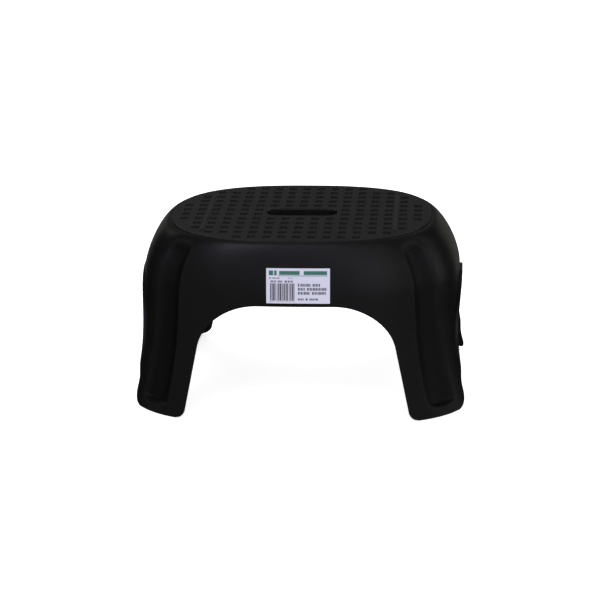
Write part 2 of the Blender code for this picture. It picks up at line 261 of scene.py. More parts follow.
def front_arch(z, grow):
    """Half width of the front and back arches, grown by an offset into the wall."""
    bend = quarter_turn(z, FRONT_ARCH_BEND, FRONT_ARCH_TOP + grow)
    side = FRONT_ARCH_HALF + grow - FRONT_ARCH_LEAN * z - FRONT_ARCH_CORNER * bend
    return side + foot_round(z, SHELL_FLOOR + EDGE_ROUND, FRONT_FOOT_RADIUS)


def end_arch(z, grow):
    """Half width of the end arches, which close in to nothing at a rounded top."""
    top = END_ARCH_TOP + grow
    half = END_ARCH_HALF + grow
    side = half - END_ARCH_LEAN * z - (half - END_ARCH_LEAN * top) * quarter_turn(z, END_ARCH_BEND, top)
    return max(side, 0.0) + foot_round(z, SHELL_FLOOR + EDGE_ROUND, END_FOOT_RADIUS)


def lip_fade(z):
    """How far the end arch's lip stands up at a height: it fades out towards the feet."""
    return float(smooth_step((z - LIP_FOOT) / LIP_TAPER))


def lip_offset(z):
    """Distance from the end arch's edge to the foot of its lip, where the plain wall starts."""
    return EDGE_ROUND + (LIP_WIDTH + LIP_FILLET - EDGE_ROUND) * lip_fade(z)


# ---- quarter of the wall ---------------------------------------------------------------------

SEAM = math.radians(0.35)   # least angle between the end arch's foot and the flute


def eased(low, high, count):
    """Heights from low to high that grow closer towards the top."""
    return [low + (high - low) * math.sin(math.pi / 2 * k / count) for k in range(count + 1)]


def row_heights(end_top):
    """Heights of the grid's rows, with the indices of the rows at the front and end arches' tops."""
    first = SHELL_FLOOR + EDGE_ROUND
    apron = FRONT_ARCH_TOP + EDGE_ROUND
    rows = [*np.linspace(first, FOOT_ROWS_TOP, FOOT_ROWS), *np.linspace(*LEG_ROWS_SPAN, LEG_ROWS)]
    rows += eased(FRONT_ARCH_BEND, apron, ARCH_ROWS)
    front_row = len(rows) - 1
    rows += [end_top - (end_top - apron) * (1.0 - k / APRON_ROWS) ** 2 for k in range(1, APRON_ROWS + 1)]
    end_row = len(rows) - 1
    rows += eased(end_top, SHOULDER_TOP, SHOULDER_ROWS)[1:]
    return rows, front_row, end_row


def row_angles(z, inset, end_half):
    """Angles of one row's points, from the end arch or the end's middle to the front arch or the front's."""
    stations = np.radians(FLUTE_ANGLE + FLUTE_HALF_ANGLE * np.array(FLUTE_STATIONS))
    first = min(solve_angle(z, inset, 1, end_half), stations[0] - SEAM) if end_half > 0.0 else 0.0
    corner_z = min(z, FRONT_ARCH_TOP + EDGE_ROUND)
    last = solve_angle(corner_z, inset, 0, front_arch(corner_z, EDGE_ROUND))
    pieces = [np.linspace(first, stations[0], END_COLUMNS + 1), stations[1:],
              np.linspace(stations[-1], last, SIDE_COLUMNS + 1)[1:]]
    if z >= FRONT_ARCH_TOP + EDGE_ROUND - SNAP:
        pieces.append(np.linspace(last, math.pi / 2, FLAT_COLUMNS + 1)[1:])
    return np.concatenate(pieces)


def snapped(points):
    """Points whose tiny coordinates are made exactly zero, so that the mirrored quarters meet."""
    points = np.array(points, float)
    points[np.abs(points) < SNAP] = 0.0
    return points


def outer_rows():
    """Rows of points over the quarter's outer face, from the floor to the shoulder's top."""
    heights, front_row, end_row = row_heights(END_ARCH_TOP + LIP_WIDTH + LIP_FILLET)
    rows = []
    for k, z in enumerate(heights):
        angles = row_angles(z, 0.0, end_arch(z, lip_offset(z)) if k < end_row else 0.0)
        x, y = wall_points(angles, z, 0.0)
        rows.append(snapped(np.stack([x, y, np.full_like(x, z)], 1)))
    return rows, front_row, end_row


def inner_rows():
    """The same rows on the inner face, drawn in at the top to end at the ceiling."""
    heights, _, end_row = row_heights(END_ARCH_TOP + EDGE_ROUND)
    rows = []
    for k, z in enumerate(heights):
        angles = row_angles(z, WALL, end_arch(z, EDGE_ROUND) if k < end_row else 0.0)
        x, y = wall_points(angles, z, WALL, WALL)
        height = z
        if z > SHOULDER_START:
            climb = (z - SHOULDER_START) / (SHOULDER_TOP - SHOULDER_START)
            height = SHOULDER_START + climb * (CEILING - SHOULDER_START)
        rows.append(snapped(np.stack([x, y, np.full_like(x, height)], 1)))
    return rows


def free_edge(rows, front_row, end_row):
    """Grid places round the wall's free edge, each with the place next to it inside the grid."""
    corner = len(rows[0]) - 1
    places = [((end_row, 0), (end_row + 1, 0))]
    places += [((k, 0), (k, 1)) for k in range(end_row - 1, 0, -1)]
    places += [((0, c), (1, c)) for c in range(corner + 1)]
    places += [((k, corner), (k, corner - 1)) for k in range(1, front_row)]
    places += [((front_row, c), (front_row + 1, c)) for c in range(corner, len(rows[front_row]))]
    return places


def edge_frames(rows, places):
    """Along the free edge: its points, the way out of the wall's edge, and the wall's outward normal."""
    points = np.array([rows[k][c] for (k, c), _ in places])
    before = np.vstack([points[1] * (1, -1, 1), points[:-1]])
    after = np.vstack([points[1:], points[-2] * (-1, 1, 1)])
    along = after - before
    along /= np.linalg.norm(along, axis=1)[:, None]
    inside = np.array([rows[k][c] for _, (k, c) in places]) - points
    normal = np.cross(along, inside)
    normal /= np.linalg.norm(normal, axis=1)[:, None]
    away = points * (1, 1, 0)
    normal *= np.sign((normal * away).sum(1))[:, None]
    out = np.cross(along, normal)
    out *= -np.sign((out * inside).sum(1))[:, None]
    for vectors in (normal, out):
        vectors[0, 1] = 0.0
        vectors[-1, 0] = 0.0
    return points, out, normal


def lip_profile(fade):
    """Section across a free edge from the outer wall, as (out, up) pairs: rounded, or with the raised lip."""
    width = EDGE_ROUND + (LIP_WIDTH + LIP_FILLET - EDGE_ROUND) * fade
    turns = np.radians(THIRDS)
    lip = [(LIP_FILLET * math.sin(a), LIP_FILLET * (1.0 - math.cos(a))) for a in turns]
    lip += [(LIP_FILLET, LIP_REACH - LIP_ROUND)]
    lip += [(LIP_FILLET + LIP_ROUND * (1.0 - math.cos(a)), LIP_REACH - LIP_ROUND * (1.0 - math.sin(a)))
            for a in turns]
    lip += [(LIP_WIDTH + LIP_FILLET - LIP_ROUND * (1.0 - math.sin(a)),
             LIP_REACH - LIP_ROUND * (1.0 - math.cos(a))) for a in np.radians((0, *THIRDS))]
    plain_turns = np.radians(np.linspace(0.0, 90.0, len(lip) + 1)[1:])
    plain = [(EDGE_ROUND * math.sin(a), -EDGE_ROUND * (1.0 - math.cos(a))) for a in plain_turns]
    mixed = (1.0 - fade) * np.array(plain) + fade * np.array(lip)
    return np.minimum(mixed, (width, np.inf))


def edge_sections(outer, inner, front_row, end_row):
    """Rows of points across the wall's free edge, from the outer face to the inner one."""
    places = free_edge(outer, front_row, end_row)
    start, out, up = edge_frames(outer, places)
    finish, out_in, up_in = edge_frames(inner, places)
    sections = []
    for i, ((_, c), _) in enumerate(places):
        fade = lip_fade(start[i][2]) if c == 0 and i < end_row else 0.0
        section = [start[i]]
        section += [start[i] + d * out[i] + w * up[i] for d, w in lip_profile(fade)]
        for a in np.radians(THIRDS[::-1]):
            section.append(finish[i] + EDGE_ROUND * math.sin(a) * out_in[i]
                           + EDGE_ROUND * (1.0 - math.cos(a)) * up_in[i])
        section.append(finish[i])
        sections.append(snapped(section))
    return sections


# ---- mesh assembly ---------------------------------------------------------------------------

def add_grid(bm, rows, turned=False):
    """Faces between rows of points; a longer row's extra points are left out of the shorter one's strip."""
    made = [[bm.verts.new(point) for point in row] for row in rows]
    for lower, upper in zip(made, made[1:]):
        for i in range(min(len(lower), len(upper)) - 1):
            ring = [lower[i], lower[i + 1], upper[i + 1], upper[i]]
            bm.faces.new(ring[::-1] if turned else ring)


def add_rings(bm, rings, cap=False):
    """Closed rings of points joined one to the next, the last one capped if it ends the shape."""
    made = [[bm.verts.new(point) for point in ring] for ring in rings]
    for first, second in zip(made, made[1:]):
        for i in range(len(first)):
            j = (i + 1) % len(first)
            bm.faces.new((first[i], first[j], second[j], second[i]))
    if cap:
        bm.faces.new(made[-1])


def mirrored(bm):
    """The quarter becomes the whole, four times round."""
    for axis in (0, 1):
        copied = bmesh.ops.duplicate(bm, geom=bm.verts[:] + bm.edges[:] + bm.faces[:])["geom"]
        for vert in (item for item in copied if isinstance(item, bmesh.types.BMVert)):
            vert.co[axis] = -vert.co[axis]


def whole_ring(quarter):
    """A quarter's row of points, from the +X axis to the +Y axis, carried round all four quarters."""
    left = quarter[-2::-1] * (-1, 1, 1)
    low = quarter[1:] * (-1, -1, 1)
    right = quarter[-2:0:-1] * (1, -1, 1)
    return np.vstack([quarter, left, low, right])


def rounded_box(x, y, half_x, half_y, radius, z, steps=BOX_STEPS):
    """Ring of a box with round corners, anticlockwise, without repeated points."""
    points = []
    for sx, sy, start in ((1, 1, 0), (-1, 1, 1), (-1, -1, 2), (1, -1, 3)):
        for k in range(steps + 1):
            turn = math.pi / 2 * (start + k / steps)
            points.append((x + sx * (half_x - radius) + radius * math.cos(turn),
                           y + sy * (half_y - radius) + radius * math.sin(turn), z))
    points = np.array(points)
    step = np.linalg.norm(points - np.roll(points, 1, axis=0), axis=1)
    return points[step > SNAP]


def box_rings(x, y, half_x, half_y, radius, profile, steps=BOX_STEPS):
    """Rings of a rounded box that grows and rises as its profile's (grow, z) pairs say."""
    return [rounded_box(x, y, half_x + grow, half_y + grow, radius + grow, z, steps)
            for grow, z in profile]


def inside_box(point, x, y, half_x, half_y):
    """Quick test before the one for a ring."""
    return abs(point[0] - x) < half_x and abs(point[1] - y) < half_y


def add_flat(bm, outline, holes, z):
    """Flat face inside an outline, round holes given as (ring, x, y, half_x, half_y)."""
    points, edges = [], []
    for ring in [outline] + [hole[0] for hole in holes]:
        base = len(points)
        points += [Vector((p[0], p[1])) for p in ring]
        edges += [(base + i, base + (i + 1) % len(ring)) for i in range(len(ring))]
    flat, _, faces, _, _, _ = delaunay_2d_cdt(points, edges, [], 0, SNAP)
    verts = [bm.verts.new((p.x, p.y, z)) for p in flat]
    for face in faces:
        middle = sum((flat[i] for i in face), Vector((0.0, 0.0))) / len(face)
        if not any(inside_box(middle, *hole[1:]) and inside_ring(middle, hole[0]) for hole in holes):
            bm.faces.new([verts[i] for i in face])


def inside_ring(point, ring):
    """Whether a point is inside a convex ring that runs anticlockwise."""
    step = np.roll(ring, -1, axis=0) - ring
    side = step[:, 0] * (point[1] - ring[:, 1]) - step[:, 1] * (point[0] - ring[:, 0])
    return bool((side > 0).all())


# ---- tread and underside ---------------------------------------------------------------------

def arc(radius, degrees):
    """Points of a quarter round as (along, away) pairs, which start straight along."""
    return [(radius * math.sin(a), radius * (1.0 - math.cos(a))) for a in map(math.radians, degrees)]


def tread_rim(angles):
    """Rings of the groove and rounded edge between the shoulder and the flat tread."""
    rings = []
    for inset, rise in RIM_RINGS:
        x, y = wall_points(angles, SHOULDER_TOP, inset)
        rings.append(snapped(np.stack([x, y, np.full_like(x, TREAD_TOP + rise)], 1)))
    return rings


def pocket_places():
    """Middles of the pockets: a square grid that fills an oval field and leaves room for the slot."""
    places = []
    for row in range(-POCKET_ROWS, POCKET_ROWS):
        for column in range(-POCKET_COLUMNS, POCKET_COLUMNS + 1):
            x, y = column * PITCH, (row + 0.5) * PITCH
            over_slot = abs(row + 0.5) < 1 and abs(column) <= SLOT_COLUMNS
            if oval_share(x, y, *POCKET_FIELD, SQUARE_TREAD) < 1.0 and not over_slot:
                places.append((x, y))
    return places


def pocket_profile():
    """Section from the flat tread down to a pocket's floor, as (grow, z) pairs."""
    top, foot, draft = 0.0005, 0.0004, 0.0002
    steps = [(top + FLAT_BAND, 0.0), (top, 0.0)]
    steps += [(top - out, -down) for out, down in arc(top, THIRDS)]
    steps += [(-draft - down, -(POCKET_DEPTH - foot) - out) for out, down in arc(foot, (0, *THIRDS))]
    steps += [(-draft - foot - FLAT_BAND, -POCKET_DEPTH)]
    return [(grow, TREAD_TOP + z) for grow, z in steps]


def grip_rib_profile():
    """Section from the flat tread up to a grip rib's top."""
    height = GRIP_RIB_TOP - TREAD_TOP
    foot, top = 0.0003, 0.0006
    steps = [(foot + FLAT_BAND, 0.0), (foot, 0.0)]
    steps += [(foot - out, up) for out, up in arc(foot, THIRDS)]
    steps += [(-up, height - top + out) for out, up in arc(top, (0, 22, 45, 67, 90))]
    steps += [(-top - FLAT_BAND, height)]
    return [(grow, TREAD_TOP + z) for grow, z in steps]


def slot_profile():
    """Section from the flat tread over the slot's lip, down and round its skirt, and back to the ceiling."""
    low = CEILING - SKIRT_DEPTH
    edge, foot, fillet = SLOT_ROUND, 0.0007, 0.0008
    steps = [(edge + FLAT_BAND, TREAD_TOP), (edge, TREAD_TOP)]
    steps += [(edge - out, TREAD_TOP - down) for out, down in arc(edge, (15, 30, 45, 60, 75, 90))]
    steps += [(0.0, 0.5 * (TREAD_TOP + low))]
    steps += [(down, low + foot - out) for out, down in arc(foot, (0, *THIRDS))]
    steps += [(SKIRT_WALL - foot + out, low + down) for out, down in arc(foot, (0, *THIRDS))]
    steps += [(SKIRT_WALL + down, CEILING - fillet + out) for out, down in arc(fillet, (0, *THIRDS))]
    steps += [(SKIRT_WALL + fillet + FLAT_BAND, CEILING)]
    return steps


def under_rib_profile():
    """Section from the ceiling down to an underside rib's edge."""
    low = CEILING - UNDER_RIB_DEPTH
    foot, tip = 0.0008, 0.0005
    steps = [(foot + FLAT_BAND, CEILING), (foot, CEILING)]
    steps += [(foot - out, CEILING - down) for out, down in arc(foot, THIRDS)]
    steps += [(-down, low + tip - out) for out, down in arc(tip, (0, *THIRDS))]
    steps += [(-tip - FLAT_BAND, low)]
    return steps


def hole_round(x, y, half_x, half_y, radius, profile, which, steps=BOX_STEPS):
    """One end of a profile as a hole in a flat face, with the box that bounds it."""
    ring = box_rings(x, y, half_x, half_y, radius, profile, steps)[which]
    grow = profile[which][0]
    return ring, x, y, half_x + grow, half_y + grow


def add_tread(bm, rim):
    """The tread's flat face with its pockets and grip ribs, and the slot through to the underside."""
    pocket, rib, slot = pocket_profile(), grip_rib_profile(), slot_profile()
    slot_size = (0.0, 0.0, SLOT_HALF_LENGTH, SLOT_HALF_WIDTH, SLOT_HALF_WIDTH)
    holes = []
    for x, y in pocket_places():
        size = (x, y, POCKET_HALF, POCKET_HALF, POCKET_CORNER)
        holes.append(hole_round(*size, pocket, 0))
        add_rings(bm, box_rings(*size, pocket), cap=True)
    for side in (1, -1):
        size = (side * GRIP_RIB_X, 0.0, GRIP_RIB_HALF_WIDTH, GRIP_RIB_HALF_LENGTH, GRIP_RIB_HALF_WIDTH)
        holes.append(hole_round(*size, rib, 0, GRIP_RIB_STEPS))
        add_rings(bm, box_rings(*size, rib, GRIP_RIB_STEPS), cap=True)
    holes.append(hole_round(*slot_size, slot, 0, SLOT_STEPS))
    add_rings(bm, box_rings(*slot_size, slot, SLOT_STEPS))
    add_flat(bm, rim, holes, TREAD_TOP)


def add_ceiling(bm, rim):
    """The underside's flat face with its ribs, open at the slot's skirt."""
    rib, slot = under_rib_profile(), slot_profile()
    slot_size = (0.0, 0.0, SLOT_HALF_LENGTH, SLOT_HALF_WIDTH, SLOT_HALF_WIDTH)
    holes = [hole_round(*slot_size, slot, -1, SLOT_STEPS)]
    for side in (1, -1):
        for station in UNDER_RIB_STATIONS:
            ratio = station / half_length(SHOULDER_TOP)
            reach = half_depth(SHOULDER_TOP) * (1.0 - ratio ** SQUARE_TREAD) ** (1.0 / SQUARE_TREAD)
            size = (side * station, 0.0, UNDER_RIB_HALF_WIDTH, reach - UNDER_RIB_MARGIN, UNDER_RIB_HALF_WIDTH)
            holes.append(hole_round(*size, rib, 0, UNDER_RIB_STEPS))
            add_rings(bm, box_rings(*size, rib, UNDER_RIB_STEPS), cap=True)
    add_flat(bm, rim, holes, CEILING)


def moulding_mesh():
    """The whole moulding as one closed surface."""
    bm = bmesh.new()
    outer, front_row, end_row = outer_rows()
    inner = inner_rows()
    add_grid(bm, outer)
    add_grid(bm, inner, turned=True)
    add_grid(bm, edge_sections(outer, inner, front_row, end_row))
    rim = tread_rim(row_angles(SHOULDER_TOP, 0.0, 0.0))
    add_grid(bm, [outer[-1]] + rim)
    x, y = wall_points(row_angles(SHOULDER_TOP, WALL, 0.0), SHOULDER_TOP, WALL + 2 * FLAT_BAND)
    ceiling_rim = snapped(np.stack([x, y, np.full_like(x, CEILING)], 1))
    add_grid(bm, [inner[-1], ceiling_rim], turned=True)
    mirrored(bm)
    add_tread(bm, whole_ring(rim[-1]))
    add_ceiling(bm, whole_ring(ceiling_rim))
    bmesh.ops.remove_doubles(bm, verts=bm.verts, dist=WELD)
    bmesh.ops.recalc_face_normals(bm, faces=bm.faces)
    return bm


# ---- where shade is painted on the moulding, and where it is smoother ------------------------

PLATE_MARGIN = 0.0005       # a point this far over the ceiling is on the outer face
FIELD_INSET = 0.0030        # the tread's field starts this far in from its edge
HOLLOW_DEPTH = 0.0005       # a pocket's painted shade is at its darkest from here down
RIM_SHADE = 0.6             # painted shade in the crease round the rim: its darkness, where it starts, comes in and fades
RIM_SHADE_LOW = CEILING - 0.0015
RIM_SHADE_RISE = 0.0020
RIM_SHADE_FADE = 0.0006
ON_WALL = 0.97              # oval share over which a point is on the outer wall
ON_FLUTE = 0.75             # the same within a flute
FLUTE_SHADE_DROP = 0.0010   # the flute's painted shade starts this far under its round end and comes in over the rise
FLUTE_SHADE_RISE = 0.0030
FLUTE_SHADE_SIDE = 1.6      # how fast it comes in from the flute's sides
POLISH_MARGIN = 0.0001      # slack on the slot lip's bounds


def in_tread(x, y, z):
    """Whether a point is on the tread's field: its flat face, a pocket or the slot's mouth."""
    share = oval_share(x, y, TREAD_EDGE_X - FIELD_INSET, TREAD_EDGE_Y - FIELD_INSET, SQUARE_TREAD)
    return share < 1.0 and z > CEILING + PLATE_MARGIN


def polish_share(x, y, z):
    """Whether a point is on the slot's rounded lip, which hands have polished."""
    outside = math.hypot(max(abs(x) - (SLOT_HALF_LENGTH - SLOT_HALF_WIDTH), 0.0), y) - SLOT_HALF_WIDTH
    beside = -POLISH_MARGIN < outside < SLOT_ROUND + POLISH_MARGIN
    return 1.0 if beside and z > TREAD_TOP - SLOT_ROUND - POLISH_MARGIN else 0.0


def hollow_shade_share(x, y, z):
    """Painted shade: how far a point is down a pocket or the slot, or in the crease round the tread's rim."""
    if in_tread(x, y, z):
        return float(smooth_step((TREAD_TOP - z) / HOLLOW_DEPTH))
    if z > CEILING + PLATE_MARGIN:
        return RIM_SHADE * (1.0 - float(smooth_step((z - SHOULDER_TOP) / RIM_SHADE_FADE)))
    if oval_share(x, y, half_length(z), half_depth(z), squareness(z)) > ON_WALL:
        return RIM_SHADE * float(smooth_step((z - RIM_SHADE_LOW) / RIM_SHADE_RISE))
    return 0.0


def flute_shade_share(x, y, z):
    """Painted shade in a flute: how deep in it a point of the outer wall lies, from 0 to 1, with the ledge at
    its foot counted.
    """
    size_x, size_y = half_length(z), half_depth(z)
    angle = np.arctan2(abs(y) / size_y, abs(x) / size_x)
    u = (math.degrees(angle) - FLUTE_ANGLE) / FLUTE_HALF_ANGLE
    if abs(u) >= 1.0 or oval_share(x, y, size_x, size_y, squareness(z)) < ON_FLUTE:
        return 0.0
    floor = FLUTE_END + FLUTE_END_ROUND * (1.0 - math.sqrt(1.0 - u * u))
    low = float(smooth_step((z - floor + FLUTE_SHADE_DROP) / FLUTE_SHADE_RISE))
    high = 1.0 - float(smooth_step((z - FLUTE_FADE_LOW) / (FLUTE_FADE_HIGH - FLUTE_FADE_LOW)))
    return float(smooth_step(FLUTE_SHADE_SIDE * (1.0 - u * u))) * low * high


# ---- label -----------------------------------------------------------------------------------

LABEL_LIFT = 0.00012        # gap to the wall, and the film's thickness
LABEL_FILM = 0.00010
LABEL_CORNER = 0.0005
LABEL_CORNER_STEPS = 5
LABEL_CELL = 0.0030         # the film's face is divided into cells of about this size
LABEL_SHARP = math.radians(40.0)
GREEN, BLACK, GREY = 1, 2, 3    # places of the inks among the films; the paper's is 0

# Printed marks as shares of the label's width and height: (left, right, low, high, ink)
LABEL_MARKS = (
    (0.042, 0.110, 0.800, 0.935, GREEN),     # header: two blocks and two long bars over a rule
    (0.125, 0.165, 0.800, 0.935, GREEN),
    (0.205, 0.525, 0.815, 0.925, GREEN),
    (0.590, 0.955, 0.815, 0.925, GREEN),
    (0.185, 0.965, 0.780, 0.797, GREEN),
    (0.048, 0.085, 0.705, 0.740, BLACK),     # small strips over the bar pattern
    (0.100, 0.215, 0.705, 0.740, BLACK),
    (0.345, 0.430, 0.705, 0.740, GREY),
    (0.070, 0.165, 0.598, 0.656, BLACK),
    (0.180, 0.265, 0.598, 0.656, BLACK),
    (0.290, 0.420, 0.598, 0.656, BLACK),
    (0.050, 0.140, 0.040, 0.065, GREY),      # small strips under it
    (0.160, 0.290, 0.040, 0.065, GREY),
    (0.310, 0.440, 0.040, 0.065, GREY),
    (0.500, 0.520, 0.488, 0.567, BLACK),     # strips on the right
    (0.540, 0.700, 0.488, 0.567, BLACK),
    (0.730, 0.850, 0.488, 0.567, BLACK),
    (0.500, 0.610, 0.373, 0.452, BLACK),
    (0.640, 0.950, 0.373, 0.452, BLACK),
    (0.500, 0.690, 0.258, 0.337, BLACK),
    (0.720, 0.940, 0.258, 0.337, BLACK),
    (0.500, 0.600, 0.092, 0.150, BLACK),
    (0.620, 0.650, 0.092, 0.150, BLACK),
    (0.680, 0.820, 0.092, 0.150, BLACK),
)
STRIP_PITCH = 0.024         # a strip is broken into short blocks, each filling a share of the pitch
STRIP_FILLS = (0.76, 0.56, 0.70, 0.50, 0.80, 0.62)
BAR_FIELD = (0.060, 0.445, 0.080, 0.575)
BAR_WIDTHS = (2, 1, 1, 1, 3, 1, 2, 1, 1, 2, 1, 1, 2, 1, 3, 1, 1, 1,     # bar, gap, bar and so on
              2, 1, 2, 1, 1, 1, 3, 2, 1, 1, 2, 1, 1, 1, 3, 1, 1)


def label_marks():
    """All printed marks, with the strips broken into blocks and the bar pattern laid out."""
    marks = []
    for left, right, low, high, ink in LABEL_MARKS:
        blocks = 1 if ink == GREEN else max(1, round((right - left) / STRIP_PITCH))
        pitch = (right - left) / blocks
        for i in range(blocks):
            fill = 1.0 if blocks == 1 else STRIP_FILLS[i % len(STRIP_FILLS)]
            marks.append((left + i * pitch, left + (i + fill) * pitch, low, high, ink))
    left, right, low, high = BAR_FIELD
    unit = (right - left) / sum(BAR_WIDTHS)
    place = left
    for index, width in enumerate(BAR_WIDTHS):
        if index % 2 == 0:
            marks.append((place, place + width * unit, low, high, BLACK))
        place += width * unit
    return marks


def on_front_wall(x, z, lift):
    """Point of the front wall's face at an X and a height, lifted off it along its normal."""
    reach = 0.0003

    def wall_at(px, pz):
        ratio = abs(px) / half_length(pz)
        power = squareness(pz)
        return Vector((px, -half_depth(pz) * (1.0 - ratio ** power) ** (1.0 / power), pz))

    along = wall_at(x + reach, z) - wall_at(x - reach, z)
    up = wall_at(x, z + reach) - wall_at(x, z - reach)
    return wall_at(x, z) + along.cross(up).normalized() * lift


def divided(loop, cell):
    """A closed loop of flat points with extra ones, so that no side is longer than a cell."""
    points = []
    for start, end in zip(loop, np.roll(loop, -1, axis=0)):
        count = max(1, round(float(np.linalg.norm(end - start)) / cell))
        points += [start + (end - start) * i / count for i in range(count)]
    return np.array(points)


def label_mesh():
    """The film's face is divided along every printed mark, so that each mark is its own faces."""
    bm = bmesh.new()
    half_x, half_z = (LABEL_HIGH.x - LABEL_LOW.x) / 2, (LABEL_HIGH.z - LABEL_LOW.z) / 2
    centre = ((LABEL_HIGH.x + LABEL_LOW.x) / 2, (LABEL_HIGH.z + LABEL_LOW.z) / 2)
    outline = rounded_box(*centre, half_x, half_z, LABEL_CORNER, 0.0, LABEL_CORNER_STEPS)[:, :2]
    boxes = []
    for left, right, low, high, ink in label_marks():
        boxes.append((LABEL_LOW.x + 2 * half_x * left, LABEL_LOW.x + 2 * half_x * right,
                      LABEL_LOW.z + 2 * half_z * low, LABEL_LOW.z + 2 * half_z * high, ink))
    points, edges = [], []

    def add_loop(loop):
        base = len(points)
        points.extend(Vector(p) for p in loop)
        edges.extend((base + i, base + (i + 1) % len(loop)) for i in range(len(loop)))

    add_loop(divided(outline, LABEL_CELL))
    for left, right, low, high, _ in boxes:
        add_loop(divided(np.array(((left, low), (right, low), (right, high), (left, high))), LABEL_CELL))
    for x in np.arange(LABEL_LOW.x + LABEL_CELL, LABEL_HIGH.x - LABEL_CELL / 2, LABEL_CELL):
        for z in np.arange(LABEL_LOW.z + LABEL_CELL, LABEL_HIGH.z - LABEL_CELL / 2, LABEL_CELL):
            points.append(Vector((x, z)))
    flat, _, faces, _, _, _ = delaunay_2d_cdt(points, edges, [], 0, LABEL_SNAP)
    front = [bm.verts.new(on_front_wall(p.x, p.y, LABEL_LIFT + LABEL_FILM)) for p in flat]
    back = [bm.verts.new(on_front_wall(p.x, p.y, LABEL_LIFT)) for p in flat]
    for face in faces:
        made = bm.faces.new([front[i] for i in face])
        bm.faces.new([back[i] for i in reversed(face)])
        middle = sum((flat[i] for i in face), Vector((0.0, 0.0))) / len(face)
        for left, right, low, high, ink in boxes:
            if left < middle.x < right and low < middle.y < high:
                made.material_index = ink
    twin = dict(zip(front, back))
    for edge in [e for e in bm.edges if e.is_boundary and e.verts[0] in twin]:
        a, b = edge.verts
        bm.faces.new((a, b, twin[b], twin[a]))
    bmesh.ops.recalc_face_normals(bm, faces=bm.faces)
    return bm


# ---- foot pads -------------------------------------------------------------------------------

PAD_CLEARANCE = 0.0006
PAD_DEPTH = 0.0107
PAD_HALF_ANGLE = 4.6        # degrees to each side of the flute's middle
PAD_ROUND = 0.0008
PAD_GROOVES = 5
PAD_GROOVE_DEPTH = 0.0005
PAD_GROOVE_START = 0.55     # share of a groove's wave left as land, and how steeply the groove then starts
PAD_GROOVE_SLOPE = 3.0
PAD_COLUMNS, PAD_ROWS = 44, 14
PAD_SHARP = math.radians(50.0)


def pad_mesh(side, end, height):
    """Soft block in one leg's corner, rounded at its edges and grooved underneath."""
    columns, rows = PAD_COLUMNS, PAD_ROWS
    angles = np.radians(np.linspace(FLUTE_ANGLE - PAD_HALF_ANGLE, FLUTE_ANGLE + PAD_HALF_ANGLE, columns + 1))
    arc_length = (angles - angles[0]) * half_length(0.0)
    bm = bmesh.new()
    layers = []
    for top in (False, True):
        grid = []
        for r in range(rows + 1):
            inset = WALL + PAD_CLEARANCE + (PAD_DEPTH - 2 * PAD_CLEARANCE) * r / rows
            x, y = oval(angles, half_length(0.0) - inset, half_depth(0.0) - inset, SQUARE_FOOT)
            border = np.minimum(np.minimum(arc_length, arc_length[-1] - arc_length),
                                min(r, rows - r) * PAD_DEPTH / rows)
            turn = np.clip(border / PAD_ROUND, 0.0, 1.0)
            roll = PAD_ROUND * (1.0 - np.sqrt(1.0 - (1.0 - turn) ** 2))
            groove = 0.5 - 0.5 * np.cos(2 * np.pi * PAD_GROOVES * arc_length / arc_length[-1])
            groove = smooth_step(PAD_GROOVE_SLOPE * (groove - PAD_GROOVE_START))
            groove = PAD_GROOVE_DEPTH * groove * smooth_step(turn)
            z = height - roll if top else roll + groove
            grid.append([bm.verts.new((side * a, end * b, c)) for a, b, c in zip(x, y, z)])
        layers.append(grid)
        for lower, upper in zip(grid, grid[1:]):
            for i in range(columns):
                bm.faces.new((lower[i], lower[i + 1], upper[i + 1], upper[i]))
    border = [(0, c) for c in range(columns)] + [(r, columns) for r in range(rows)]
    border += [(rows, c) for c in range(columns, 0, -1)] + [(r, 0) for r in range(rows, 0, -1)]
    for (a, b), (c, d) in zip(border, border[1:] + border[:1]):
        bm.faces.new((layers[0][a][b], layers[0][c][d], layers[1][c][d], layers[1][a][b]))
    bmesh.ops.recalc_face_normals(bm, faces=bm.faces)
    return bm


# ---- materials -------------------------------------------------------------------------------

CLOUD_SWING = (0.35, 0.65)  # a noise's range from all of one colour to all of the other
DRIFT_SWING = (0.3, 0.7)    # the same from one roughness to the other


